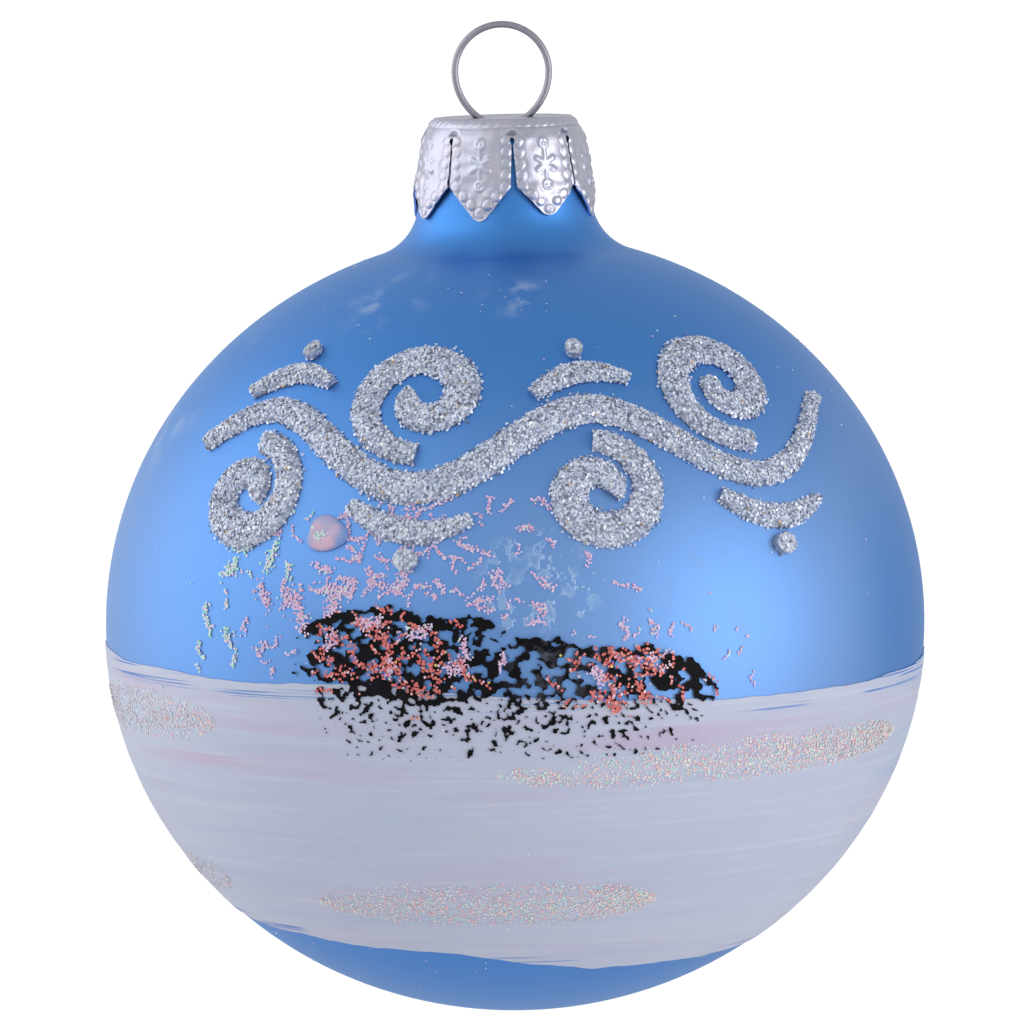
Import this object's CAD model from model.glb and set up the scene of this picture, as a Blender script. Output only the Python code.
# %% [markdown]
# # A hand-decorated glass ball
#
# A glassblower blows the ball and its neck from one tube, silvers the inside and dips the outside in
# a satin blue lacquer. A stamped tin cap sits on the neck, and a sprung wire goes down through the
# cap and opens inside the glass to hold it. A painter then brushes on a band of snow, dabs dark
# paint along its edge, and draws with glue and glitter.
#
# The lesson follows the same order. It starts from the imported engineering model, which gives every
# place and size, and each piece made here rides on one of its bodies.

import math

import bmesh
import bpy
import numpy as np
from mathutils import Matrix, Vector, noise


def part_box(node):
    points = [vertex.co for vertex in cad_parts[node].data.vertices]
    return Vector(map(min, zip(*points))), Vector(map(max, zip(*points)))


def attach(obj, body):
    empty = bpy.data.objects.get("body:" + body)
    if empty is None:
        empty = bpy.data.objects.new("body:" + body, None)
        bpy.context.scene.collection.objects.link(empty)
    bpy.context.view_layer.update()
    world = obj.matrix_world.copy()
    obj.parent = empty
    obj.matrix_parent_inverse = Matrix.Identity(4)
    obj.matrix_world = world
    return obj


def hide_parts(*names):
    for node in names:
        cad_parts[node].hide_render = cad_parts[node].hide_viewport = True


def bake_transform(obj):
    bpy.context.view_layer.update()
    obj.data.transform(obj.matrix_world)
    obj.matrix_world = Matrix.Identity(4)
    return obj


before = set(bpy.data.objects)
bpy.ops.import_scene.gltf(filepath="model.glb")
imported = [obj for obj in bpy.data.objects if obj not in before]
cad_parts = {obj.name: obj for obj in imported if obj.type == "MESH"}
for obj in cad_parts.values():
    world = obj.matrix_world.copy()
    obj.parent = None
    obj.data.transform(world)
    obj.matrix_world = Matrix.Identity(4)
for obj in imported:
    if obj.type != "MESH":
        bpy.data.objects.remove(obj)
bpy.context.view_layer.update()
MM = 0.001

# %% [markdown]
# ## Where things are
#
# The ball is an oval of revolution, a little wider than it is high. A place on it is a turn, in
# degrees to the right of the front, and a height, in degrees above its middle. Two small functions
# change such a place into a point and into the direction square to the glass there. They take
# arrays as well as numbers, so that thousands of grains of glitter can be placed at once.

# %% Places on the ball
ball_low, ball_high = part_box("glass_ball")
HALF_WIDTH = ball_high.x
HALF_HEIGHT = 38 * MM
CENTRE_Z = ball_low.z + HALF_HEIGHT


def square_to_glass(turn, height):
    """The direction straight out of the glass, as an array of x, y, z."""
    turn, height = np.radians(turn), np.radians(height)
    out = np.cos(height) / HALF_WIDTH
    up = np.sin(height) / HALF_HEIGHT + 0 * turn
    length = np.sqrt(out**2 + up**2)
    return np.stack([out * np.sin(turn), -out * np.cos(turn), up], -1) / length[..., None]


def on_ball(turn, height, lift=0.0):
    """The point on the glass at that turn and height, raised by lift."""
    around, tall = np.radians(turn), np.radians(height)
    out = HALF_WIDTH * np.cos(tall)
    up = CENTRE_Z + HALF_HEIGHT * np.sin(tall) + 0 * around
    point = np.stack([out * np.sin(around), -out * np.cos(around), up], -1)
    return point + np.asarray(lift)[..., None] * square_to_glass(turn, height)


print("ball:", HALF_WIDTH / MM, "mm half width, centre at", round(CENTRE_Z / MM, 2), "mm")

# %% [markdown]
# ## Camera, light and floor
#
# The ornament is small, so it is seen through a long lens from a little above its middle. It hangs
# very slightly off the vertical, and the camera is turned by that angle instead of the object,
# which stays where the frame has it.
#
# A satin lacquer over silver shows the room as broad soft patches. Two large soft boxes stand on
# either side and leave a darker stripe between them. A third stands higher up at the front left,
# and the backdrop is lit on its own.

# %% The camera
LOOK_AT = Vector((0.14 * MM, 0, CENTRE_Z + 10.5 * MM))
CAMERA_PLACE = Vector((0, -846 * MM, CENTRE_Z + 82 * MM))
CAMERA_TURN = 1.4
LENS = 304.2

camera_data = bpy.data.cameras.new("camera")
camera_data.lens = LENS
camera_data.clip_start = 0.01
camera = bpy.data.objects.new("camera", camera_data)
bpy.context.scene.collection.objects.link(camera)
camera.location = CAMERA_PLACE
camera.rotation_mode = "QUATERNION"
upright = (LOOK_AT - CAMERA_PLACE).to_track_quat("-Z", "Y")
roll = Matrix.Rotation(math.radians(-CAMERA_TURN), 3, "Z").to_quaternion()
camera.rotation_quaternion = upright @ roll
bpy.context.scene.camera = camera
print("camera", round((CAMERA_PLACE - LOOK_AT).length / MM), "mm away")

# %% The soft boxes


def soft_box(name, around, above, away, width, tall, watts):
    """A rectangular lamp that faces the ball: around and above are its direction, in degrees."""
    lamp = bpy.data.lights.new(name, "AREA")
    lamp.shape = "RECTANGLE"
    lamp.size = width
    lamp.size_y = tall
    lamp.energy = watts
    thing = bpy.data.objects.new(name, lamp)
    bpy.context.scene.collection.objects.link(thing)
    a, e = math.radians(around), math.radians(above)
    back = Vector((math.sin(a) * math.cos(e), -math.cos(a) * math.cos(e), math.sin(e)))
    thing.location = Vector((0, 0, CENTRE_Z)) + back * away
    thing.rotation_mode = "QUATERNION"
    thing.rotation_quaternion = back.to_track_quat("Z", "Y")
    return thing


soft_box("soft_box_right", 60, 2, 0.9, 0.7, 0.75, 3.4)
soft_box("soft_box_left", -100, 14, 0.9, 0.9, 1.1, 2.6)
soft_box("soft_box_front_left", -50, 34, 1.1, 0.8, 0.7, 1.2)

# %% [markdown]
# ### Shader maths as plain sums
#
# A material is a web of small nodes, and sums in it are hard to read as nodes. The class `Wire`
# stands for one output of a node, and Python's own signs add the Math nodes. `Web` is the tree they
# stand in: its one method `add` makes any other node from its type, its settings and the values or
# wires that go into its sockets. `Finish` is a web round a Principled shader, and knows the place
# that is being shaded.

# %% Wires and finishes


class Wire:
    """One output of a shader node. Sums and comparisons on it add Math nodes."""

    def __init__(self, web, socket):
        self.web = web
        self.socket = socket

    def maths(self, operation, *others):
        sockets = dict(enumerate((self, *others)))
        return self.web.add("Math", {"operation": operation}, sockets)

    def __add__(self, other):
        return self.maths("ADD", other)

    def __sub__(self, other):
        return self.maths("SUBTRACT", other)

    def __mul__(self, other):
        return self.maths("MULTIPLY", other)

    def __rsub__(self, other):
        return (self * -1) + other

    __radd__ = __add__
    __rmul__ = __mul__

    def between(self, low, high):
        """0 where this is under low, 1 where it is over high, and smooth between them."""
        settings = {"interpolation_type": "SMOOTHSTEP"}
        sockets = {"Value": self, "From Min": low, "From Max": high}
        return self.web.add("MapRange", settings, sockets)


class Web:
    """A tree of shader nodes, emptied, with a new output of the given type."""

    def __init__(self, owner, kind):
        owner.use_nodes = True
        self.tree = owner.node_tree
        self.tree.nodes.clear()
        self.output = self.tree.nodes.new("ShaderNodeOutput" + kind)

    def set(self, node, sockets):
        for name, value in sockets.items():
            if isinstance(value, Wire):
                self.tree.links.new(value.socket, node.inputs[name])
            else:
                node.inputs[name].default_value = value

    def add(self, kind, settings=None, sockets=None, output=0):
        """Adds a node and gives back one of its outputs. A ramp's stops are a setting."""
        node = self.tree.nodes.new("ShaderNode" + kind)
        for name, value in (settings or {}).items():
            if name == "stops":
                self.set_stops(node.color_ramp, value)
            elif name == "ramp":
                node.color_ramp.interpolation = value
            else:
                setattr(node, name, value)
        self.set(node, sockets or {})
        return Wire(self, node.outputs[output])

    def set_stops(self, ramp, stops):
        while len(ramp.elements) < len(stops):
            ramp.elements.new(1.0)
        for element, (place, colour) in zip(ramp.elements, stops):
            element.position = place
            element.color = (*colour, 1.0)

    def part(self, vector, axis):
        return self.add("SeparateXYZ", sockets={"Vector": vector}, output=axis)

    def mix(self, share, first, second):
        """A colour that goes from first to second as share goes from 0 to 1."""
        ends = [(*end, 1.0) if isinstance(end, tuple) else end for end in (first, second)]
        return self.add("Mix", {"data_type": "RGBA"}, {0: share, 6: ends[0], 7: ends[1]}, output=2)


class Finish(Web):
    """A material being built round one Principled shader."""

    def __init__(self, name):
        self.material = bpy.data.materials.new(name)
        super().__init__(self.material, "Material")
        self.shader = self.tree.nodes.new("ShaderNodeBsdfPrincipled")
        self.set(self.output, {"Surface": Wire(self, self.shader.outputs["BSDF"])})
        self.here = self.add("TexCoord", output="Object")

    def surface(self, **sockets):
        """Sets the shader's sockets: base_color stands for Base Color, and so on."""
        for name, value in sockets.items():
            title = name.replace("_", " ").title().replace("Ior", "IOR")
            self.set(self.shader, {title: value})
        return self.material

    def stretched(self, scale):
        """The place being shaded, times one number or three, which sets a pattern's grain."""
        scales = scale if isinstance(scale, tuple) else (scale, scale, scale)
        return self.add("Mapping", {"vector_type": "POINT"}, {"Vector": self.here, "Scale": scales})

    def cloud(self, scale, detail=3.0, roughness=0.5):
        """Smooth noise from 0 to 1, with about scale features to the metre."""
        vector = self.stretched(scale)
        sockets = {"Vector": vector, "Scale": 1.0, "Detail": detail, "Roughness": roughness}
        return self.add("TexNoise", {}, sockets)

    def bump(self, height, distance, normal=None):
        """A dent or bump of up to distance metres where height goes from 0 to 1."""
        sockets = {"Height": height, "Distance": distance}
        if normal is not None:
            sockets["Normal"] = normal
        return self.add("Bump", {}, sockets)

    def near(self, centre, radius):
        """1 at a centre, falling smoothly to 0 at the radius."""
        ends = {0: self.here, 1: tuple(centre)}
        away = self.add("VectorMath", {"operation": "DISTANCE"}, ends, output="Value")
        return 1 - away.between(0.0, radius)


def shade(red, green, blue):
    """A colour as a screen shows it, from 0 to 255, in the linear values that a shader takes."""
    channels = (red, green, blue)
    return tuple(((v / 255 + 0.055) / 1.055) ** 2.4 if v > 10 else v / 3294 for v in channels)


print("Wire, Web and Finish are ready")

# %% [markdown]
# ### The room
#
# The floor is a plain pale sheet well below the ball, low enough for the ball to be pulled off its
# hanger. The room is a soft grey that is lighter above, and the backdrop that the camera sees
# behind the ornament is lit to white.

# %% The floor and the room
FLOOR_DROP = 200 * MM
FLOOR_RADIUS = 0.55

bpy.ops.mesh.primitive_circle_add(vertices=96, radius=FLOOR_RADIUS, fill_type="NGON")
floor = bpy.context.object
floor.name = "floor"
floor.data.transform(Matrix.Translation((0, 0, ball_low.z - FLOOR_DROP)))

paper = Finish("floor_paper")
fibres = paper.cloud(900, 2)
floor.data.materials.append(
    paper.surface(
        base_color=paper.mix(fibres, (0.80, 0.80, 0.81), (0.84, 0.84, 0.85)),
        roughness=0.7,
        normal=paper.bump(fibres, 0.02 * MM),
    )
)

CEILING, HORIZON, BELOW = 0.54, 0.62, 0.22
LEFT_WALL = 0.30
BACKDROP_WHITE = 1.08

world = bpy.data.worlds.new("room")
bpy.context.scene.world = world
room = Web(world, "World")
towards = room.add("TexCoord", output="Generated")
by_height = room.add("MapRange", {}, {"Value": room.part(towards, "Z"), "From Min": -1.0})
greys = ((0.0, BELOW), (0.5, HORIZON), (1.0, CEILING))
stops = [(place, (grey * 0.95, grey * 0.98, grey)) for place, grey in greys]
walls = room.add("ValToRGB", {"stops": stops}, {"Fac": by_height})
side = {"Value": room.part(towards, "X"), "From Min": 0.1, "From Max": -0.9, "To Max": LEFT_WALL}
brighter = room.add("MapRange", {"interpolation_type": "SMOOTHSTEP"}, side) + 1.0
soft = room.add("Background", {}, {"Color": walls, "Strength": brighter})
white = room.add("Background", {}, {"Color": (1.0, 1.0, 1.0, 1.0), "Strength": BACKDROP_WHITE})
seen = room.add("LightPath", output="Is Camera Ray")
room.set(room.output, {"Surface": room.add("MixShader", {}, {0: seen, 1: soft, 2: white})})
bpy.context.scene.view_settings.view_transform = "Standard"
print("floor", round(FLOOR_DROP / MM), "mm below the ball")

# %% [markdown]
# ## Working by hand
#
# Pieces are made as one would at the desk: a primitive, then extrusions, insets and bevels in edit
# mode, then modifiers. These helpers keep the bookkeeping out of the way. An operator acts on all
# that is selected, so `start` deselects everything before it adds a primitive, and `pick` selects
# vertices by their place.

# %% Helpers for modelling


def start(name, operator, **how):
    """Adds a primitive on its own and names it."""
    if bpy.context.object and bpy.context.object.mode != "OBJECT":
        bpy.ops.object.mode_set(mode="OBJECT")
    bpy.ops.object.select_all(action="DESELECT")
    operator(**how)
    piece = bpy.context.object
    piece.name = name
    piece.data.name = name
    return piece


def alone(piece):
    """Selects one piece and nothing else."""
    bpy.ops.object.select_all(action="DESELECT")
    piece.select_set(True)
    bpy.context.view_layer.objects.active = piece


def pick(piece, wanted):
    """In edit mode, selects the vertices whose place passes the test, and no others."""
    bpy.ops.mesh.select_all(action="DESELECT")
    mesh = bmesh.from_edit_mesh(piece.data)
    for vertex in mesh.verts:
        vertex.select = bool(wanted(vertex.co))
    mesh.select_flush_mode()
    bmesh.update_edit_mesh(piece.data)


def apply(piece, kind, **settings):
    """Adds a modifier, sets it and applies it."""
    alone(piece)
    modifier = piece.modifiers.new(kind.lower(), kind)
    for name, value in settings.items():
        setattr(modifier, name, value)
    bpy.ops.object.modifier_apply(modifier=modifier.name)


def tidy(piece, merge=0.0005 * MM, angle=40):
    """Merges doubles, turns every face outwards and shades smooth up to an angle."""
    alone(piece)
    bpy.ops.object.mode_set(mode="EDIT")
    bpy.ops.mesh.select_all(action="SELECT")
    bpy.ops.mesh.remove_doubles(threshold=merge)
    bpy.ops.mesh.normals_make_consistent(inside=False)
    bpy.ops.object.mode_set(mode="OBJECT")
    bpy.ops.object.shade_smooth_by_angle(angle=math.radians(angle))


def read_places(piece):
    """The piece's vertices as an array, one row each."""
    places = np.empty(len(piece.data.vertices) * 3)
    piece.data.vertices.foreach_get("co", places)
    return places.reshape(-1, 3)


def write_places(piece, places):
    piece.data.vertices.foreach_set("co", np.asarray(places, float).ravel())
    piece.data.update()


def remember(mesh, name, values):
    """Keeps a number on every vertex, where a finish can read it."""
    mesh.attributes.new(name, "FLOAT", "POINT").data.foreach_set("value", values)


def tell(piece):
    print(f"{piece.name}: {len(piece.data.polygons)} faces")


print("helpers ready")

# %% [markdown]
# ## The glass
#
# The real ball is blown, so its wall is one skin that runs from the pole up through the shoulder
# into the neck. A sphere is pressed to the oval, its crown is cut off with bisect, and the open
# edge is extruded ring by ring round the hollow curve of the shoulder and up the neck. A Solidify
# modifier then gives the glass its wall, with the silvering on the inside.

# %% The ball and its neck
JOIN_RADIUS = 12.3 * MM
SHOULDER_CURVE = 5.45 * MM
RIM_RADIUS = 6.9 * MM
GLASS_WALL = 0.7 * MM
BALL_SEGMENTS = 160
BALL_RINGS = 120
SHOULDER_RINGS = 14
NECK_RINGS = 3

join_height = 90 - math.degrees(math.asin(JOIN_RADIUS / HALF_WIDTH))
curve_middle = on_ball(90.0, join_height, SHOULDER_CURVE)[[0, 2]]
outward = square_to_glass(90.0, join_height)[[0, 2]]
rim = np.array([RIM_RADIUS, ball_high.z])
to_middle = curve_middle - rim
distance = np.hypot(*to_middle)
neck_angle = math.atan2(to_middle[1], to_middle[0]) - math.asin(SHOULDER_CURVE / distance)
first_angle = math.atan2(-outward[1], -outward[0])
last_angle = neck_angle - math.pi / 2

glass = start(
    "glass_shell",
    bpy.ops.mesh.primitive_uv_sphere_add,
    segments=BALL_SEGMENTS,
    ring_count=BALL_RINGS,
    radius=1,
)
bpy.ops.object.mode_set(mode="EDIT")
bpy.ops.mesh.select_all(action="SELECT")
bpy.ops.transform.resize(value=(HALF_WIDTH, HALF_WIDTH, HALF_HEIGHT))
bpy.ops.transform.translate(value=(0, 0, CENTRE_Z))
join_z = CENTRE_Z + HALF_HEIGHT * math.sin(math.radians(join_height))
HAIR = 0.001 * MM
bpy.ops.mesh.bisect(
    plane_co=(0, 0, join_z), plane_no=(0, 0, 1), clear_outer=True, threshold=HAIR / 10
)
pick(glass, lambda place: place.z > join_z - HAIR)

outline = []
for step in range(1, SHOULDER_RINGS + 1):
    angle = first_angle + (last_angle - first_angle) * step / SHOULDER_RINGS
    outline.append(curve_middle + SHOULDER_CURVE * np.array([math.cos(angle), math.sin(angle)]))
neck_foot = outline[-1]
for step in range(1, NECK_RINGS + 1):
    outline.append(neck_foot + (rim - neck_foot) * step / NECK_RINGS)

radius_now, z_now = JOIN_RADIUS, join_z
for radius, z in outline:
    bpy.ops.mesh.extrude_edges_move(TRANSFORM_OT_translate={"value": (0, 0, z - z_now)})
    bpy.ops.transform.resize(value=(radius / radius_now, radius / radius_now, 1))
    radius_now, z_now = radius, z
bpy.ops.object.mode_set(mode="OBJECT")
tidy(glass)
apply(glass, "SOLIDIFY", thickness=GLASS_WALL, offset=-1, material_offset=1, material_offset_rim=0)
bpy.ops.object.shade_smooth_by_angle(angle=math.radians(50))
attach(glass, "ball")
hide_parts("glass_ball")
tell(glass)

# %% [markdown]
# ### Lacquer over silver
#
# The lacquer is a clear blue over a mirror, so the base is metallic and its reflections are blue.
# A rough clear coat adds the sheen of the satin varnish. A little of a second, matt shader is mixed
# in for the haze in the varnish, which is strongest round the middle and on the right. Handling has
# left faint scuffs, and where glue was wiped away there are thin pale traces: bands of equal height
# in a noise pattern draw such ragged outlines, and a mask keeps them to the places where they were.

# %% The lacquer


def smudge(finish, centre, radius, scale):
    """A cloudy patch round a place on the ball, given as turn and height."""
    return finish.near(on_ball(*centre), radius) * finish.cloud(scale, 4, 0.6).between(0.5, 0.7)


def lacquer():
    blue = Finish("blue_satin_lacquer")
    drift = blue.cloud(45, 2)
    grain = blue.cloud(5200, 1)
    scuffs = smudge(blue, (-36.0, 60.0), 7 * MM, 260)
    scuffs = scuffs + smudge(blue, (3.5, 60.0), 5 * MM, 300)
    scuffs = scuffs + smudge(blue, (-80.0, 38.0), 12 * MM, 170)
    wandering = blue.cloud((560, 560, 470), 3, 0.55)
    film = wandering.between(0.53, 0.57) * (1 - wandering.between(0.60, 0.66) * 0.7)
    outlines = 1 - (wandering - 0.545).maths("ABSOLUTE").between(0.0, 0.016)
    broken = blue.cloud(380, 2).between(0.40, 0.56)
    smeared = blue.near(on_ball(3.5, 10.0), 8.5 * MM).between(0.05, 0.5)
    traces = (film * 0.35 + outlines * 0.8) * broken * smeared
    strokes = blue.cloud((520, 520, 210), 2)
    scraped = blue.near(on_ball(30.0, 8.0), 11 * MM).between(0.1, 0.6)
    marks = strokes.between(0.60, 0.70) * scraped
    tint = blue.mix(drift, (0.058, 0.275, 0.73), (0.068, 0.298, 0.77))
    tint = blue.mix(traces * 0.7, tint, (0.34, 0.64, 0.95))
    tint = blue.mix(marks * 0.25, tint, (0.10, 0.20, 0.42))
    relief = blue.bump(grain, 0.004 * MM)
    relief = blue.bump(traces, 0.03 * MM, normal=relief)
    blue.surface(
        base_color=tint,
        metallic=1.0,
        roughness=0.48 + scuffs * 0.12 + drift * 0.03,
        coat_weight=0.35,
        coat_roughness=0.4,
        coat_ior=1.5,
        normal=relief,
    )
    above = (blue.part(blue.here, "Z") - CENTRE_Z).maths("ABSOLUTE")
    far_right = blue.part(blue.here, "X").between(30 * MM, 39 * MM)
    belt = (1 - above.between(10 * MM, 30 * MM)) * (1 - far_right)
    hazy_side = blue.near(on_ball(28.0, 0.0), 25 * MM)
    haze = {"Base Color": (0.72, 0.78, 0.86, 1.0), "Roughness": 0.6, "Normal": relief}
    veil = blue.add("BsdfPrincipled", {}, haze)
    mirror = Wire(blue, blue.shader.outputs["BSDF"])
    share = belt * 0.15 + hazy_side * 0.09 + 0.01
    share = (share + traces * 0.25 + scuffs * 0.35).maths("MINIMUM", 0.7)
    blend = blue.add("MixShader", {}, {0: share, 1: mirror, 2: veil})
    blue.set(blue.output, {"Surface": blend})
    return blue.material


def silvering():
    silver = Finish("inner_silvering")
    runs = silver.cloud((120, 120, 30), 3)
    return silver.surface(
        base_color=silver.mix(runs, (0.62, 0.62, 0.60), (0.80, 0.80, 0.78)),
        metallic=1.0,
        roughness=0.12 + runs * 0.15,
    )


glass.data.materials.append(lacquer())
glass.data.materials.append(silvering())
print("lacquer and silvering on", glass.name)

# %% [markdown]
# ## The hanger
#
# The hanger is one length of tinned spring wire. Its loop closes in to a waist, passes down through
# two holes in the cap, bends there and splays out inside the neck. It is made here as a wire bender
# makes it: a round section is spun along one arc after another, each tangent to the last, and is
# then pushed straight out for the leg. The loop and the two legs are separate pieces, because the
# legs pinch together, and each leg bends at the waist, between the loop's body and its own.

# %% The sizes of the wire
WIRE_RADIUS = 0.33 * MM
WIRE_SIDES = 20
LOOP_RADIUS = 4.57 * MM
SIDE_RADIUS = 5.6 * MM
WAIST_DROP = 8.95 * MM
WAIST_RADIUS = 1.0 * MM
LEG_SPLAY = math.radians(31)
LEG_LENGTH = 17 * MM
SIDE_STEPS, LOOP_STEPS, WAIST_STEPS, LEG_STEPS = 14, 56, 18, 6

loop_z = WIRE_RADIUS - LOOP_RADIUS
side_x = LOOP_RADIUS - SIDE_RADIUS
waist_angle = math.asin((loop_z + WAIST_DROP) / SIDE_RADIUS)
waist_start = Vector((side_x + SIDE_RADIUS * math.cos(waist_angle), 0, -WAIST_DROP))
to_waist = Vector((math.cos(waist_angle), 0, -math.sin(waist_angle)))
waist_middle = waist_start + WAIST_RADIUS * to_waist
leg_top = waist_middle - WAIST_RADIUS * Vector((math.cos(LEG_SPLAY), 0, math.sin(LEG_SPLAY)))
print("waist", round(2 * waist_start.x / MM, 2), "mm wide")

# %% Bending and pushing wire


def wire_end(name, place, along):
    """A round section of wire, square to along, left selected in edit mode."""
    piece = start(
        name,
        bpy.ops.mesh.primitive_circle_add,
        vertices=WIRE_SIDES,
        radius=WIRE_RADIUS,
        fill_type="NGON",
    )
    piece.data.transform(Matrix.Translation(place) @ along.to_track_quat("Z", "Y").to_matrix().to_4x4())
    bpy.ops.object.mode_set(mode="EDIT")
    bpy.ops.mesh.select_all(action="SELECT")
    return piece


def bend_wire(middle, angle, steps):
    """Spins the selected end about an axis that runs from front to back."""
    bpy.ops.mesh.spin(steps=steps, angle=angle, center=middle, axis=(0, -1, 0))


def push_wire(way, steps):
    for _ in range(steps):
        bpy.ops.mesh.extrude_region_move(TRANSFORM_OT_translate={"value": way / steps})


def mirrored(piece, name):
    """The same piece on the other side of the middle, with its faces still outwards."""
    mesh = piece.data.copy()
    mesh.name = name
    mesh.transform(Matrix.Scale(-1, 4, (1, 0, 0)))
    mesh.flip_normals()
    twin = bpy.data.objects.new(name, mesh)
    bpy.context.scene.collection.objects.link(twin)
    return twin


print("ready to bend wire")

# %% The loop
down_the_wire = Vector((-math.sin(waist_angle), 0, -math.cos(waist_angle)))
loop = wire_end("hanger_ring", waist_start, -down_the_wire)
bend_wire((side_x, 0, loop_z), -waist_angle, SIDE_STEPS)
bend_wire((0, 0, loop_z), -math.pi, LOOP_STEPS)
bend_wire((-side_x, 0, loop_z), -waist_angle, SIDE_STEPS)
bpy.ops.object.mode_set(mode="OBJECT")
tidy(loop, angle=60)
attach(loop, "hanger")
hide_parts("hanger_loop")
tell(loop)

# %% The two legs
right_leg = wire_end("sprung_leg_right", waist_start, down_the_wire)
bend_wire(waist_middle, -(waist_angle + LEG_SPLAY), WAIST_STEPS)
push_wire(LEG_LENGTH * Vector((math.sin(LEG_SPLAY), 0, -math.cos(LEG_SPLAY))), LEG_STEPS)
bpy.ops.object.mode_set(mode="OBJECT")
tidy(right_leg, angle=60)
left_leg = mirrored(right_leg, "sprung_leg_left")
for leg, body, side in ((left_leg, "left_leg", -1), (right_leg, "right_leg", 1)):
    side * waist_start.x
    side * leg_top.x
    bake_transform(leg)
    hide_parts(body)
    tell(leg)

# %% [markdown]
# ### Tinned wire
#
# Wire is pulled through a die, which leaves fine lines along it, and the tin over it is dull and a
# little patchy. The lines would need the wire's own length to follow, so a noise at two scales
# stands for them at this size: small pits, and slow patches of duller tin.

# %% The wire's finish


def tin():
    wire = Finish("tinned_wire")
    patches = wire.cloud(420, 3)
    pits = wire.cloud((5200, 5200, 1600), 2, 0.6)
    grey = wire.mix(patches, shade(150, 150, 160), shade(178, 177, 186))
    return wire.surface(
        base_color=wire.mix(pits.between(0.6, 0.8) * 0.5, grey, shade(120, 120, 132)),
        metallic=0.9,
        roughness=0.34 + patches * 0.18,
        normal=wire.bump(pits, 0.012 * MM),
    )


tinned = tin()
for piece in (loop, left_leg, right_leg):
    piece.data.materials.append(tinned)
print("tin on the loop and legs")

# %% [markdown]
# ## The crown cap
#
# The cap is stamped from thin tin sheet. The press raises a rope round its shoulder, cuts it into
# eight pointed tabs, and strikes a border of beads and a small flower into each. Then the tabs are
# folded down. The same order works here: one flat tab is a fine grid, the outline squeezes it to a
# point, a relief of simple shapes moves it in and out, and it is wrapped round the neck eight times.
# The relief is real geometry, so it catches the light from every side.

# %% The outline of the cap
CAP_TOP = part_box("crown_cap")[1].z
TABS = 8
FIRST_SLIT = 6.0
SHEET = 0.2 * MM
SLIT_TOP = 1.75
TAB_CORNER = 6.5
TAB_TIP = 9.75
TIP_HALF = 0.42
OUTLINE_DEPTHS = [0.0, 0.45, 1.9, 7.3, 9.9]
OUTLINE_RADII = [6.7, 7.15, 7.93, 8.85, 8.98]
SLIT_DEPTHS = [SLIT_TOP, SLIT_TOP + 0.06, SLIT_TOP + 0.25, SLIT_TOP + 0.5, SLIT_TOP + 0.7, TAB_CORNER]
SLIT_HALVES = [0.0, 0.17, 0.24, 0.18, 0.08]
SLIT_GAPS = [0.31, 0.20, 0.26, 0.16, 0.24, 0.30, 0.18, 0.14]
TIP_TRIMS = [0.86, 1.0, 0.92, 0.97, 0.9, 1.0, 0.94, 1.0]


def cap_radius(depth):
    """The sheet's radius in mm at a depth in mm, with the corners of the outline eased."""
    shifts = (-0.3, -0.1, 0.1, 0.3)
    eased = sum(np.interp(depth + s, OUTLINE_DEPTHS, OUTLINE_RADII) for s in shifts) / len(shifts)
    return np.where(depth < 0.3, np.interp(depth, OUTLINE_DEPTHS, OUTLINE_RADII), eased)


def tab_half(depth, gap):
    """How far a tab reaches to one side, where that side's slit opens by gap."""
    wide = math.pi / TABS * cap_radius(depth)
    wide = wide - np.interp(depth, SLIT_DEPTHS, [*SLIT_HALVES, gap], left=0.0)
    corner = math.pi / TABS * cap_radius(TAB_CORNER) - gap
    down = np.clip((depth - TAB_CORNER) / (TAB_TIP - TAB_CORNER), 0, 1)
    pointed = corner + (TIP_HALF - corner) * down
    rounded = pointed * np.sqrt(np.clip((TAB_TIP + 0.02 - depth) / 0.25, 0.05, 1))
    return np.where(depth > TAB_CORNER, rounded, wide)


print("cap", 2 * OUTLINE_RADII[-1], "mm across its hem")

# %% The relief that the press strikes


def rise(distance, inner, outer):
    """1 inside the inner distance, 0 beyond the outer one, and smooth between."""
    share = np.clip((outer - distance) / (outer - inner), 0, 1)
    return share * share * (3 - 2 * share)


def from_line(across, depth, first, second):
    """Distance of each point from the line between two others, all in mm."""
    first, second = np.array(first), np.array(second)
    way = second - first
    share = ((across - first[0]) * way[0] + (depth - first[1]) * way[1]) / (way @ way)
    share = np.clip(share, 0, 1)
    return np.hypot(across - first[0] - share * way[0], depth - first[1] - share * way[1])


BEAD_INSET = 0.62
BEAD_PITCH = 1.1
FLOWER_DEPTH = 4.35
ROUNDEL_REACH = 2.02
ROPE_STRANDS = 48
DIMPLE_RADIUS = 7.8
HALF_PITCH = 180 / TABS


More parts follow.
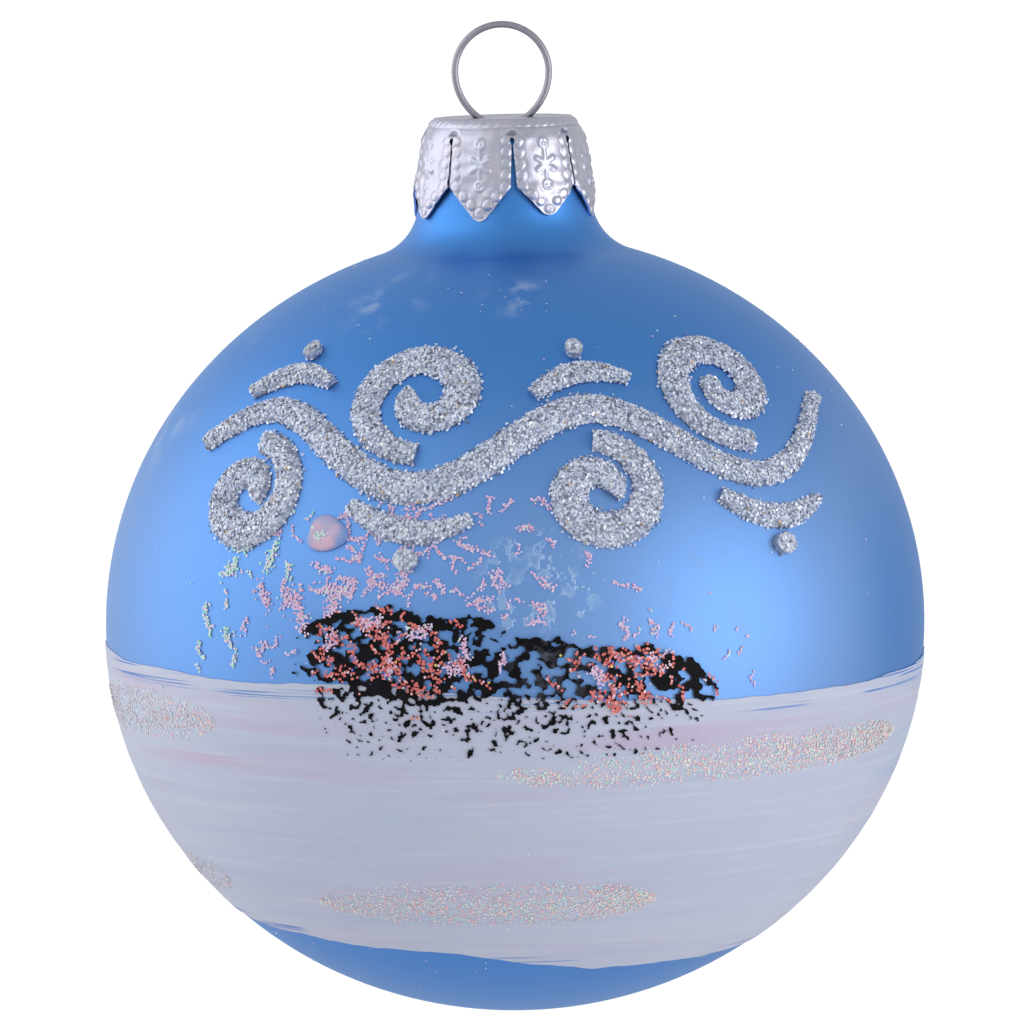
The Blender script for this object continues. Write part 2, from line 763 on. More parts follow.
def stamping(across, depth):
    """Height of the relief in mm: a border of beads, and a flower between two roundels."""
    side = np.abs(across)
    edge = tab_half(TAB_CORNER, 0.22) - BEAD_INSET
    spots = [(edge - 0.03, SLIT_TOP + 0.3 + BEAD_PITCH * k) for k in range(5)]
    last = (0.0, TAB_TIP - 0.75)
    for k in range(1, 4):
        share = k / 3
        spots.append((edge + (last[0] - edge) * share, 6.55 + (last[1] - 6.55) * share))
    away = np.min([np.hypot(side - x, depth - y) for x, y in spots], axis=0)
    beads = 0.085 * rise(away, 0.28, 0.54) - 0.05 * rise(np.abs(away - 0.57), 0.0, 0.12)
    bar = from_line(side, depth, (0, FLOWER_DEPTH - ROUNDEL_REACH), (0, FLOWER_DEPTH + ROUNDEL_REACH))
    below = np.abs(depth - FLOWER_DEPTH)
    petal = from_line(side, below, (0.28, 0.2), (0.85, 0.55))
    roundel = np.hypot(side, below - ROUNDEL_REACH)
    flower = 0.10 * rise(bar, 0.06, 0.24)
    flower = np.maximum(flower, 0.13 * rise(petal, 0.12, 0.36))
    flower = np.maximum(flower, 0.13 * rise(np.abs(roundel - 0.42), 0.03, 0.2))
    flower = np.maximum(flower, 0.09 * rise(roundel, 0.05, 0.3))
    return beads + flower


def rope_and_dimples(turn, depth):
    """The rope round the shoulder, and a pressed oval above each slit."""
    twist = 0.5 + 0.5 * np.cos(np.radians(turn) * ROPE_STRANDS + depth * 5)
    rope = 0.10 * twist * rise(np.abs(depth - 0.42), 0.12, 0.34)
    groove = -0.05 * rise(np.abs(depth - 0.86), 0.03, 0.16)
    from_slit = (turn - FIRST_SLIT + HALF_PITCH) % (2 * HALF_PITCH) - HALF_PITCH
    across = np.radians(from_slit) * DIMPLE_RADIUS
    oval = np.hypot(across / 0.72, (depth - 1.32) / 0.34)
    return rope + groove - 0.17 * rise(oval, 0.2, 1.0) + 0.05 * rise(np.abs(oval - 1.2), 0, 0.3)


print("relief ready")

# %% Striking and folding the tabs
TAB_COLUMNS = 52
TAB_ROWS = 80


def crumpled(x, y, z):
    """Dents from handling thin sheet, in mm."""
    slow = noise.noise(Vector((x, y, z)) * 0.42)
    quick = noise.noise(Vector((x + 40, y, z)) * 1.1)
    return 0.13 * slow + 0.07 * quick


def fold_tab(number):
    """One tab, from a flat grid, wrapped to its place between two slits."""
    tab = start(
        f"tab_{number}",
        bpy.ops.mesh.primitive_grid_add,
        x_subdivisions=TAB_COLUMNS,
        y_subdivisions=TAB_ROWS,
        size=2,
    )
    flat = read_places(tab)
    depth = (1 - flat[:, 1]) / 2 * TAB_TIP
    left = tab_half(depth, SLIT_GAPS[number])
    right = tab_half(depth, SLIT_GAPS[(number + 1) % TABS])
    across = flat[:, 0] * np.where(flat[:, 0] < 0, left, right)
    radius = cap_radius(depth)
    middle = FIRST_SLIT + (number + 0.5) * 360 / TABS
    turn = middle + np.degrees(across / radius)
    height = stamping(across, depth) + rope_and_dimples(turn, depth)
    around = np.radians(turn)
    x, y = radius * np.sin(around), -radius * np.cos(around)
    dents = np.array([crumpled(*p) for p in zip(x, y, depth)])
    loose = np.clip((depth - 0.5) / 6, 0, 1)
    twisted = 0.12 * np.sin(3.1 * number) * loose * (across / 3)
    bent = 0.10 * math.cos(2.3 * number) * loose**3
    dents = dents * np.clip(depth * 1.5, 0, 1) * (0.5 + loose)
    radius = radius + (height + dents + (twisted + bent))
    trim = np.where(depth > TAB_CORNER, TAB_CORNER + (depth - TAB_CORNER) * TIP_TRIMS[number], depth)
    places = np.stack([radius * np.sin(around), -radius * np.cos(around), CAP_TOP / MM - trim], -1)
    places[depth < 0.001, 2] = CAP_TOP / MM
    write_places(tab, places * MM)
    remember(tab.data, "struck", height)
    return tab


tabs = [fold_tab(number) for number in range(TABS)]
cap = tabs[0]
alone(cap)
for tab in tabs:
    tab.select_set(True)
bpy.ops.object.join()
cap.name = "stamped_cap"
cap.data.name = "stamped_cap"
bpy.ops.object.mode_set(mode="EDIT")
bpy.ops.mesh.select_all(action="SELECT")
bpy.ops.mesh.remove_doubles(threshold=0.004 * MM)
tell(cap)

# %% [markdown]
# The flat top is drawn in from the rope: the ring of edges there is extruded three times and scaled
# inwards. Two circles mark the holes that the wire goes through, and Fill makes the plate between
# the three outlines. Solidify then gives the whole cap the thickness of its sheet.

# %% The top plate and the wall of the cap
HOLE_X = 2.29 * MM
HOLE_RADIUS = 0.9 * MM
PLATE_SINK = 0.09
top_ring = OUTLINE_RADII[0]
pick(cap, lambda place: place.z > CAP_TOP - HAIR)
for ring, sink in ((6.3, 0.0), (6.0, PLATE_SINK), (5.5, 0.0)):
    bpy.ops.mesh.extrude_edges_move(TRANSFORM_OT_translate={"value": (0, 0, -sink * MM)})
    bpy.ops.transform.resize(value=(ring / top_ring, ring / top_ring, 1))
    top_ring = ring
plate_z = CAP_TOP - PLATE_SINK * MM
for side in (-1, 1):
    bpy.ops.mesh.primitive_circle_add(
        vertices=32, radius=HOLE_RADIUS, fill_type="NOTHING", location=(side * HOLE_X, 0, plate_z)
    )
pick(cap, lambda place: place.z > plate_z - HAIR and place.xy.length < top_ring * MM + HAIR)
bpy.ops.mesh.fill(use_beauty=True)
bpy.ops.object.mode_set(mode="OBJECT")
tidy(cap, merge=0.001 * MM, angle=50)
apply(cap, "SOLIDIFY", thickness=SHEET, offset=-1, use_even_offset=False)
bpy.ops.object.shade_smooth_by_angle(angle=math.radians(50))
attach(cap, "cap")
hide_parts("crown_cap")
tell(cap)

# %% [markdown]
# ### Stamped tin
#
# The sheet is bright but not polished: fine scratches from the rollers, a soft cloudiness, and grey
# left in the hollows of the stamping. The press's relief was kept on the mesh as an attribute
# called struck, so the shader can darken the grooves and brighten the worn tops of the beads.

# %% The cap's finish


def stamped_tin():
    metal = Finish("stamped_tin_sheet")
    struck = metal.add("Attribute", {"attribute_name": "struck"}, output="Fac")
    mist = metal.cloud(380, 3)
    scratches = metal.cloud((1500, 1500, 9000), 2, 0.7)
    speckle = metal.cloud(6500, 2, 0.6)
    silver = metal.mix(mist, shade(184, 190, 212), shade(222, 214, 224))
    worn = metal.mix(struck.between(0.05, 0.15) * 0.5, silver, shade(200, 210, 230))
    grooves = (1 - struck.between(-0.10, 0.0)) * 0.8
    grimed = metal.mix(grooves, worn, shade(120, 126, 150))
    relief = metal.bump(speckle, 0.012 * MM)
    return metal.surface(
        base_color=metal.mix(scratches.between(0.62, 0.75) * 0.35, grimed, shade(160, 164, 184)),
        metallic=0.88,
        roughness=0.27 + mist * 0.18,
        normal=metal.bump(scratches, 0.006 * MM, normal=relief),
    )


cap.data.materials.append(stamped_tin())
print("tin on the cap")

# %% [markdown]
# ## Sheets of paint on a ball
#
# The snow and the dark paint are thin films on the glass. Each starts as a flat grid whose two
# directions become turn and height, and Solidify gives the film its thickness. Of the dark paint,
# the vertices that the sponge missed are deleted, and the cut edges are smoothed so that they run
# like wet paint.

# %% Laying a film


def film(name, columns, rows):
    """A flat grid, and its two directions as arrays that run from 0 to 1."""
    piece = start(
        name, bpy.ops.mesh.primitive_grid_add, x_subdivisions=columns, y_subdivisions=rows, size=2
    )
    flat = (read_places(piece) + 1) / 2
    return piece, flat[:, 0], flat[:, 1]


def cloudy(points, size, seed=0.0):
    """Noise from about -1 to 1 at each point, with lumps of about the given size."""
    lumps = np.asarray(points) / size + seed
    return np.array([noise.noise(Vector(lump)) for lump in lumps])


def cut_away(piece, missed):
    """Deletes the vertices that were missed, and rounds the edges that are left."""
    piece.data.vertices.foreach_set("select", np.asarray(missed, bool))
    piece.data.edges.foreach_set("select", np.zeros(len(piece.data.edges), bool))
    piece.data.polygons.foreach_set("select", np.zeros(len(piece.data.polygons), bool))
    bpy.ops.object.mode_set(mode="EDIT")
    bpy.ops.mesh.delete(type="VERT")
    bpy.ops.mesh.select_all(action="SELECT")
    bpy.ops.mesh.delete_loose()
    bpy.ops.mesh.remove_doubles(threshold=HAIR)
    bpy.ops.mesh.select_all(action="DESELECT")
    bpy.ops.mesh.select_non_manifold()
    bpy.ops.mesh.vertices_smooth(factor=0.5)
    bpy.ops.object.mode_set(mode="OBJECT")


def finish_film(piece, thick, node, angle=50):
    apply(piece, "SOLIDIFY", thickness=thick, offset=1, use_even_offset=False)
    bpy.ops.object.shade_smooth_by_angle(angle=math.radians(angle))
    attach(piece, "ball")
    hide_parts(node)
    tell(piece)


print("films ready")

# %% [markdown]
# ## The snow
#
# The snow is one broad band of thick pale paint, laid on while the ball turned, so its edges wander
# and its brush marks run round the ball. The rows of the grid are close together at the edges and
# wide apart in the middle, and the film is raised a little where the bristles left ridges. How near
# each place is to an edge is kept on the mesh, because the brush ran dry there.

# %% The band of snow
SNOW_TOP = [(-180, -3.0), (-130, -1.4), (-86, -1.3), (-63, -2.4), (-41, -3.1), (-17, -3.5), (0, -5.2)]
SNOW_TOP += [(15, -6.2), (29, -6.7), (45, -6.9), (71, -6.2), (82, -5.6), (130, -4.6), (180, -3.0)]
SNOW_LOW = [(-180, -48), (-120, -45.5), (-75, -45.6), (-32, -49.3), (-10, -51.0), (17, -55.6)]
SNOW_LOW += [(52, -56.0), (110, -53.0), (180, -48)]
SNOW_COLUMNS = 640
SNOW_ROWS = 56
PAINT_FOOT = 0.03 * MM


def along_edge(edge, turn):
    return np.interp(turn, [t for t, _ in edge], [h for _, h in edge])


snow, share_round, share_up = film("brushed_snow", SNOW_COLUMNS, SNOW_ROWS)
turn = -180 + 360 * share_round
ring = on_ball(turn, -20.0) - (0, 0, CENTRE_Z)
top = along_edge(SNOW_TOP, turn) + 0.5 * cloudy(ring, 9 * MM) + 0.22 * cloudy(ring, 2.2 * MM, 5.0)
low = along_edge(SNOW_LOW, turn) + 0.7 * cloudy(ring, 8 * MM, 9.0) + 0.25 * cloudy(ring, 2.5 * MM, 3.0)
height = low + (top - low) * (0.5 - 0.5 * np.cos(math.pi * share_up))
strokes = np.stack([ring[:, 0], ring[:, 1], np.radians(height) * HALF_WIDTH * 30], -1)
bristles = cloudy(strokes, 14 * MM)
fine_bristles = cloudy(strokes * (1, 1, 1.8), 9 * MM, 20.0)
from_edge = np.radians(np.minimum(top - height, height - low)) * HALF_WIDTH / MM
ridges = 0.035 * bristles + 0.02 * fine_bristles
body = np.clip(from_edge / 0.5, 0.15, 1)
lift = PAINT_FOOT + (0.045 + ridges + 0.012 * rise(np.abs(from_edge - 0.5), 0, 0.4)) * body * MM
write_places(snow, on_ball(turn, height, np.maximum(lift, PAINT_FOOT)))
remember(snow.data, "near_edge", rise(from_edge, 0.2, 2.6))
bpy.ops.object.mode_set(mode="EDIT")
bpy.ops.mesh.select_all(action="SELECT")
bpy.ops.mesh.remove_doubles(threshold=HAIR)
bpy.ops.object.mode_set(mode="OBJECT")
finish_film(snow, 0.05 * MM, "snow_band")

# %% [markdown]
# ### Brushed snow paint
#
# The paint is a cool white with lilac and a little pink that was never quite mixed in. The streaks
# follow the brush, so the place is stretched until a lump of noise becomes a long thin line. Where
# the coat is thin, some of the blue beneath shows through, and the bristles leave fine ridges.

# %% The snow's finish


def snow_paint():
    paint = Finish("brushed_snow_paint")
    streaks = paint.cloud((20, 20, 480), 2, 0.5)
    fine = paint.cloud((50, 50, 2200), 3, 0.6)
    broad = paint.cloud((14, 14, 150), 2)
    rosy = paint.cloud((30, 30, 420), 2)
    up = (paint.part(paint.here, "Z") - CENTRE_Z) * (1 / MM)
    across = paint.part(paint.here, "X") * (1 / MM)
    pink_belt = up.between(-14.0, -9.5) * (1 - up.between(-8.0, -4.0))
    near_edge = paint.add("Attribute", {"attribute_name": "near_edge"}, output="Fac")
    dry_hairs = paint.cloud((26, 26, 3600), 2, 0.6)
    ran_dry = paint.cloud(55, 1).between(0.45, 0.56)
    gaps = dry_hairs.between(0.55, 0.61) * near_edge.between(0.2, 0.7) * ran_dry
    thin_right = across.between(30.0, 37.0) * streaks.between(0.40, 0.62)
    swirls = paint.cloud((34, 34, 300), 3, 0.6)
    thin = (streaks.between(0.58, 0.85) * 0.22 + thin_right * 0.35).maths("MINIMUM", 0.5)
    cool = paint.mix(broad, shade(186, 194, 218), shade(202, 205, 224))
    white = paint.mix(fine.between(0.45, 0.80) * 0.5, cool, shade(214, 219, 235))
    rose = rosy.between(0.46, 0.70) * (0.12 + 0.52 * pink_belt) + swirls.between(0.50, 0.70) * 0.3
    rose = rose * (1 - across.between(14.0, 30.0) * 0.6)
    lilac = paint.mix(rose, white, shade(200, 172, 204))
    relief = paint.bump(streaks, 0.04 * MM)
    return paint.surface(
        base_color=paint.mix(gaps, paint.mix(thin, lilac, shade(140, 172, 216)), shade(70, 128, 206)),
        roughness=0.42 + fine * 0.12,
        coat_weight=0.12,
        coat_roughness=0.3,
        normal=paint.bump(fine, 0.02 * MM, normal=relief),
    )


snow.data.materials.append(snow_paint())
print("paint on", snow.name)

# %% [markdown]
# ## The dark paint
#
# Dark paint was dabbed on with a sponge: lobed blobs along the top edge of the snow, which run
# together, and smaller and smaller flecks below. Noise of several sizes decides where the sponge
# touched. The grid is fine enough for the smallest flecks, and only what was touched is kept.

# %% Dabs of dark paint
DARK_TOP = [(-33, 3.0), (-30, 5.3), (-25.6, 7.0), (-19.5, 8.0), (-13.6, 7.4), (-9, 6.4), (-5, 6.8)]
DARK_TOP += [(0.5, 3.9), (6, 3.0), (12, 1.3), (17.5, 1.8), (25, -1.1), (29, -5.5), (33, -7)]
DARK_CHUNKS = [(-33, -3.8), (-27, -4.3), (-10, -5.7), (6, -4.7), (17, -5.6), (27, -7.3), (33, -7.5)]
DARK_FOOT = [(-33, -6.0), (-20, -11.0), (0, -13.0), (17, -12.8), (25, -9.5), (33, -8.0)]
DARK_COLUMNS = 520
DARK_ROWS = 190
DARK_LIFT = 0.20 * MM

dark, share_round, share_up = film("sponged_dark_paint", DARK_COLUMNS, DARK_ROWS)
turn = -32.5 + 65 * share_round
height = -14 + 22.6 * share_up
spots = on_ball(turn, height)
lean = np.clip((turn - 14) / 8, 0, 1)
slanted = spots.copy()
slanted[:, 2] += 0.15 * lean * spots[:, 0]
lobes = 0.5 * cloudy(slanted, 1.7 * MM, 3.0) + 0.8 * cloudy(slanted * (0.8, 1, 1), 0.72 * MM, 7.0)
lobes = lobes + 0.45 * cloudy(slanted, 0.4 * MM, 11.0)
flecks = 0.4 * cloudy(slanted, 1.3 * MM, 15.0) + 0.9 * cloudy(slanted, 0.50 * MM, 19.0)
flecks = flecks + 0.45 * cloudy(slanted, 0.26 * MM, 23.0)
dark_top = along_edge(DARK_TOP, turn)
chunk_foot = along_edge(DARK_CHUNKS, turn)
fleck_foot = along_edge(DARK_FOOT, turn)
below_top = dark_top - height
into_flecks = np.clip((chunk_foot + 0.9 - height) / 1.8, 0, 1)
ends = np.clip((np.abs(turn + 1) - 26) / 6, 0, 1)
lace = 0.11 * np.exp(-(((turn - 3) / 8) ** 2))
chunk_limit = -0.16 + lace + 0.7 * np.clip(0.4 - below_top, 0, 3) + 0.9 * ends
chunk_limit = chunk_limit - 0.22 * rise(np.abs(below_top - 0.9), 0.3, 1.2)
down = np.clip((chunk_foot - height) / (chunk_foot - fleck_foot), 0, 2)
fleck_limit = 0.02 + 0.27 * down + 0.6 * ends
touch = lobes * (1 - into_flecks) + flecks * into_flecks
limit = chunk_limit * (1 - into_flecks) + fleck_limit * into_flecks
write_places(dark, on_ball(turn, height, DARK_LIFT))
cut_away(dark, touch <= limit)
finish_film(dark, 0.07 * MM, "dark_paint", angle=35)


def dark_paint():
    paint = Finish("sponged_dark_paint")
    chalk = paint.cloud(700, 3, 0.6)
    pores = paint.cloud(3200, 2)
    rubbed = paint.near(on_ball(5.0, 0.0), 6 * MM) * chalk.between(0.45, 0.62)
    black = paint.mix(chalk.between(0.4, 0.7), shade(9, 8, 12), shade(20, 18, 25))
    return paint.surface(
        base_color=paint.mix(rubbed * 0.5, black, shade(110, 112, 128)),
        roughness=0.50 + chalk * 0.2,
        ior=1.22,
        normal=paint.bump(pores, 0.02 * MM),
    )


dark.data.materials.append(dark_paint())
print("dark paint on", dark.name)

# %% [markdown]
# ## Glitter
#
# Glitter is cut from metallised film into tiny hexagons. A grain is modelled once: a cone standing
# on its point, whose flat six-sided top is the mirror and whose point sinks into the glue. Thousands
# of copies are strewn, each with its own lean, turn, size and shade, and joined into one mesh for
# each patch. A number called tint is kept on every grain, and a colour ramp turns it into a shade.

# %% One grain, and how to strew it
grain = start(
    "grain",
    bpy.ops.mesh.primitive_cone_add,
    vertices=6,
    radius1=0,
    radius2=1,
    depth=0.9,
    end_fill_type="NGON",
)
tidy(grain, merge=0.01, angle=1)
grain_places = read_places(grain) - (0, 0, 0.45)
grain_faces = [list(face.vertices) for face in grain.data.polygons]
bpy.data.objects.remove(grain)
chance = np.random.default_rng(24)


def unit(vectors):
    return vectors / np.linalg.norm(vectors, axis=-1, keepdims=True)


def strew(name, places, outward, sizes, tints, lean=0.35, thick=1.0):
    """One mesh with a grain at every place, its mirror facing roughly outward."""
    count = len(places)
    up = unit(outward + chance.normal(0, lean, (count, 3)))
    side = unit(np.cross(up, chance.normal(0, 1, (count, 3))))
    other = np.cross(up, side)
    corners = np.stack([side, other, up], 1)
    shape = grain_places * (1, 1, thick)
    made = places[:, None] + np.einsum("gk,nkj->ngj", shape, corners) * sizes[:, None, None]
    step = len(grain_places)
    totals = np.array([len(face) for face in grain_faces] * count)
    loops = np.concatenate([np.array(face) for face in grain_faces])
    loops = (loops[None, :] + step * np.arange(count)[:, None]).ravel()
    mesh = bpy.data.meshes.new(name)
    mesh.vertices.add(count * step)
    mesh.vertices.foreach_set("co", made.ravel())
    mesh.loops.add(len(loops))
    mesh.loops.foreach_set("vertex_index", loops.astype(np.int32))
    mesh.polygons.add(len(totals))
    starts = np.concatenate([[0], np.cumsum(totals)[:-1]])
    mesh.polygons.foreach_set("loop_start", starts.astype(np.int32))
    mesh.polygons.foreach_set("loop_total", totals.astype(np.int32))
    mesh.update(calc_edges=True)
    mesh.shade_flat()
    remember(mesh, "tint", np.repeat(tints, step))
    piece = bpy.data.objects.new(name, mesh)
    bpy.context.scene.collection.objects.link(piece)
    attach(piece, "ball")
    print(f"{name}: {count} grains")
    return piece


print("a grain has", len(grain_faces), "faces")


# %% Finishes for glitter
def glitter(name, shades, metallic=0.6, roughness=0.3, coat=0.4):
    """Foil glitter in several shades. Each shade comes with the share of grains that have it."""
    foil = Finish(name)
    stops, reached = [], 0.0
    for share, colour in shades:
        stops.append((reached, colour))
        reached += share
    tint = foil.add("Attribute", {"attribute_name": "tint"}, output="Fac")
    colour = foil.add("ValToRGB", {"ramp": "CONSTANT", "stops": stops}, {"Fac": tint})
    grit = foil.cloud(5000, 1)
    return foil.surface(
        base_color=foil.mix(grit * 0.25, colour, shade(235, 232, 240)),
        metallic=metallic,
        roughness=roughness + grit * 0.15,
        coat_weight=coat,
        coat_roughness=0.15,
    )


SILVER = [
    (0.32, shade(232, 238, 252)),
    (0.28, shade(214, 223, 244)),
    (0.16, shade(190, 200, 228)),
    (0.09, shade(160, 168, 192)),
    (0.08, shade(104, 110, 134)),
    (0.055, shade(255, 255, 255)),
    (0.008, shade(206, 160, 84)),
    (0.007, shade(60, 58, 66)),
]
ROSE = [
    (0.30, shade(234, 190, 222)),
    (0.24, shade(222, 182, 226)),
    (0.20, shade(242, 210, 234)),
    (0.12, shade(208, 194, 236)),
    (0.09, shade(246, 160, 186)),
    (0.05, shade(196, 240, 224)),
]
MINT = [
    (0.30, shade(206, 232, 226)),
    (0.25, shade(226, 214, 232)),
    (0.20, shade(176, 240, 212)),
    (0.15, shade(238, 208, 224)),
    (0.10, shade(130, 244, 180)),
]
CORAL = [
    (0.34, shade(224, 68, 52)),
    (0.24, shade(198, 48, 42)),
    (0.18, shade(234, 98, 70)),
    (0.12, shade(234, 140, 132)),
    (0.09, shade(232, 190, 206)),
    (0.012, shade(70, 84, 230)),
    (0.018, shade(228, 196, 70)),
]
ICE = [
    (0.26, shade(250, 244, 236)),
    (0.24, shade(255, 208, 214)),
    (0.20, shade(204, 246, 234)),
    (0.18, shade(255, 188, 188)),
    (0.09, shade(214, 232, 248)),
    (0.03, shade(176, 246, 226)),
]
silver_foil = glitter("silver_foil_glitter", SILVER, metallic=0.3)
rose_foil = glitter("rose_foil_glitter", ROSE, metallic=0.0, coat=0.2)
mint_foil = glitter("mint_foil_glitter", MINT, metallic=0.1)
coral_foil = glitter("coral_foil_glitter", CORAL, metallic=0.2)
ice_foil = glitter("ice_foil_glitter", ICE, metallic=0.0, coat=0.2)
print("five glitters mixed")

# %% [markdown]
# ## The silver scroll
#
# A garland is drawn in glue across the front: a waved stem with a curl in the hollow of each wave, a
# leaf on its back and a dot beyond it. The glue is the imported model's own bead, which keeps its
# shape and gets a finish. Each stroke is a path over the ball with a width that tapers, and the
# grains are scattered along it: a close bed first, then loose ones on top and a few that missed.

# %% The strokes of the scroll
STEM_FROM, STEM_TO = -57.0, 63.0
STEM_MIDDLE, STEM_WAVE, WAVE_LENGTH, FIRST_CREST = 31.0, 6.0, 56.0, -43.0
CURL_RADII = (8.0, 9.5)
CURL_CLEAR, CURL_TURNS = 5.2, 1.3
LEAF_REACH, LEAF_CLEAR, DOT_CLEAR = 9.0, 5.4, 10.5
CURLS = 4
BEAD_HIGH = 0.7 * MM
BEAD_ACROSS = (-1.0, -0.7, 0.0, 0.7, 1.0)
BEAD_RISE = (0.0, 0.75, 1.0, 0.75, 0.0)


def stem_height(turn):
    return STEM_MIDDLE + STEM_WAVE * np.cos(np.radians((turn - FIRST_CREST) * 360 / WAVE_LENGTH))


def taper(share, thick, thin):
    return thin + (thick - thin) * np.sin(math.pi * np.minimum(1, 0.12 + 0.85 * share))


def stem(share):
    turn = STEM_FROM + share * (STEM_TO - STEM_FROM)
    return turn, stem_height(turn)


def curl(number, share):
    side = -1 if number % 2 == 0 else 1
    size = CURL_RADII[number % 2]
    crest = FIRST_CREST + number * WAVE_LENGTH / 2
    middle = stem_height(crest) + side * (size + CURL_CLEAR)
    reach = size * (1 - 0.8 * share)
    angle = np.radians(-side * 90 - 360 * CURL_TURNS * share)
    return crest + reach * np.cos(angle) / np.cos(np.radians(middle)), middle + reach * np.sin(angle)


def leaf(number, share):
    side = -1 if number % 2 == 0 else 1
    turn = FIRST_CREST + number * WAVE_LENGTH / 2 + LEAF_REACH * (2 * share - 1)
    return turn, stem_height(turn) - side * (LEAF_CLEAR + 2 * share)


def dot(number, share):
    side = -1 if number % 2 == 0 else 1
    crest = FIRST_CREST + number * WAVE_LENGTH / 2
    return crest + 0.9 * (2 * share - 1), stem_height(crest) - side * DOT_CLEAR + 0 * share


strokes = [(stem, 1.6, 0.7)]
for number in range(CURLS):
    strokes.append((lambda share, n=number: curl(n, share), 1.7, 0.8))
    strokes.append((lambda share, n=number: leaf(n, share), 1.2, 0.5))
    strokes.append((lambda share, n=number: dot(n, share), 0.9, 0.9))
print(len(strokes), "strokes")

# %% Grains on the scroll
BED_STEP = 0.26
LOOSE_SHARE = 0.55
GRAIN_SILVER = (0.125, 0.175)


def along_stroke(path, share, across, half, lift):
    """Points on a stroke: share along it, and across from -1 to 1 of its half width."""
    here = on_ball(*path(share))
    ahead = on_ball(*path(np.minimum(share + 0.002, 1.0)))
    behind = on_ball(*path(np.maximum(share - 0.002, 0.0)))
    out = square_to_glass(*path(share))
    sideways = np.cross(out, unit(ahead - behind))
    return here + sideways * (across * half)[:, None] + out * lift[:, None], out


places, outs = [], []
for path, thick, thin in strokes:
    fine_share = np.linspace(0, 1, 200)
    length = np.linalg.norm(np.diff(on_ball(*path(fine_share)), axis=0), axis=1).sum() / MM
    rows = max(4, int(length / BED_STEP))
    for share in np.linspace(0, 1, rows):
        half = float(taper(share, thick, thin))
        bed = int(2 * half / BED_STEP) + 1
        count = bed + chance.binomial(bed, LOOSE_SHARE)
        across = np.linspace(-1.02, 1.02, bed)
        across = np.concatenate([across, chance.uniform(-1.05, 1.05, count - bed)])
        across = across + chance.normal(0, 0.09, count)
        shares = np.clip(share + chance.normal(0, 0.35 / rows, count), 0, 1)
        high = 0.06 * MM + BEAD_HIGH * np.interp(across, BEAD_ACROSS, BEAD_RISE)
        high = high + 0.05 * MM + 0.10 * MM * chance.random(count) ** 2
        spot, out = along_stroke(path, shares, across, half * MM * np.ones(count), high)
        middle, _ = along_stroke(path, shares, 0 * across, across, high)
        from_middle = unit(spot - middle + 1e-9) * (np.abs(across)[:, None] ** 2)
        places.append(spot)
        outs.append(unit(out + 0.75 * from_middle))
places, outs = np.concatenate(places), np.concatenate(outs)
sizes = chance.uniform(*GRAIN_SILVER, len(places)) * MM
scroll = strew("silver_scroll_grains", places, outs, sizes, chance.random(len(places)), lean=0.4)
scroll.data.materials.append(silver_foil)


def glue():
    bead = Finish("glitter_filled_glue")
    cells = bead.add("TexVoronoi", {}, {"Vector": bead.stretched(3000), "Scale": 1.0})
    mottled = bead.cloud(2600, 2)
    return bead.surface(
        base_color=bead.mix(mottled.between(0.35, 0.65), shade(150, 158, 180), shade(214, 219, 232)),
        metallic=0.5,
        roughness=0.42,
        normal=bead.bump(cells, 0.10 * MM),
    )


bead_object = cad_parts["glitter_scroll"]
bead_object.data.materials.clear()
bead_object.data.materials.append(glue())
print("glue on", bead_object.name)

# %% [markdown]
# ## Scattered glitter
#
# Before the snow was painted, glue was smeared over the front and dusted with rose and mint glitter.
# It held in worm-like clumps a few millimetres long. A clump is a short walk that bends as it goes,
# with grains dropped on both sides of it, so the list says only where each clump starts, which way
# it runs, how long it is and how wide. Coral glitter lies on the dark paint in the same way, and
# shorter clumps lie loose between.

# %% Clumps of grains
CORAL_REACH = 0.3
CLEAR_OF_GLASS = 0.08 * MM
CLEAR_OF_SNOW = 0.16 * MM
CLEAR_OF_PAINT = 0.31 * MM


def clearance(turn, height):
    """How far out a grain lies: on the glass, on the snow, or on the dark paint."""
    on_snow = height < along_edge(SNOW_TOP, turn) + 0.5
    on_dark = (np.abs(turn) < 33) & (height < along_edge(DARK_TOP, turn) + 0.8)
    on_dark = on_dark & (height > along_edge(DARK_FOOT, turn) - 0.5)
    return np.where(on_dark, CLEAR_OF_PAINT, np.where(on_snow, CLEAR_OF_SNOW, CLEAR_OF_GLASS))


def clump(start_at, way, length, width, closeness=0.19, bend=0.35):
    """Places of a clump's grains: turn and height in degrees, lengths in mm."""
    turn, height = start_at
    angle = math.radians(way)
    found = []
    for _ in range(max(1, int(length / closeness))):
        angle += chance.normal(0, bend)
        turn += math.degrees(closeness * math.cos(angle) * MM / HALF_WIDTH)
        height += math.degrees(closeness * math.sin(angle) * MM / HALF_WIDTH)
        wide = width * (0.55 + 0.45 * noise.noise(Vector((turn, height, 0.3)) * 1.3))
        for _ in range(max(1, int(wide / closeness * 1.7))):
            off = chance.normal(0, 0.42 * wide, 2) * MM / HALF_WIDTH
            found.append((turn + math.degrees(off[0]), height + math.degrees(off[1])))
    return found


def strew_clumps(name, found, finish, size, node, lean=0.2, thick=0.6, raised=0.0):
    """Grains on the spots found, each resting on whatever is there."""
    spots = np.array(found)
    count = len(spots)
    lifts = raised + clearance(spots[:, 0], spots[:, 1]) + 0.06 * MM * chance.random(count) ** 2
    places = on_ball(spots[:, 0], spots[:, 1], lifts)
    outs = square_to_glass(spots[:, 0], spots[:, 1])
    sizes = chance.uniform(*size, count) * MM
    piece = strew(name, places, outs, sizes, chance.random(count), lean=lean, thick=thick)
    piece.data.materials.append(finish)
    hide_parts(node)


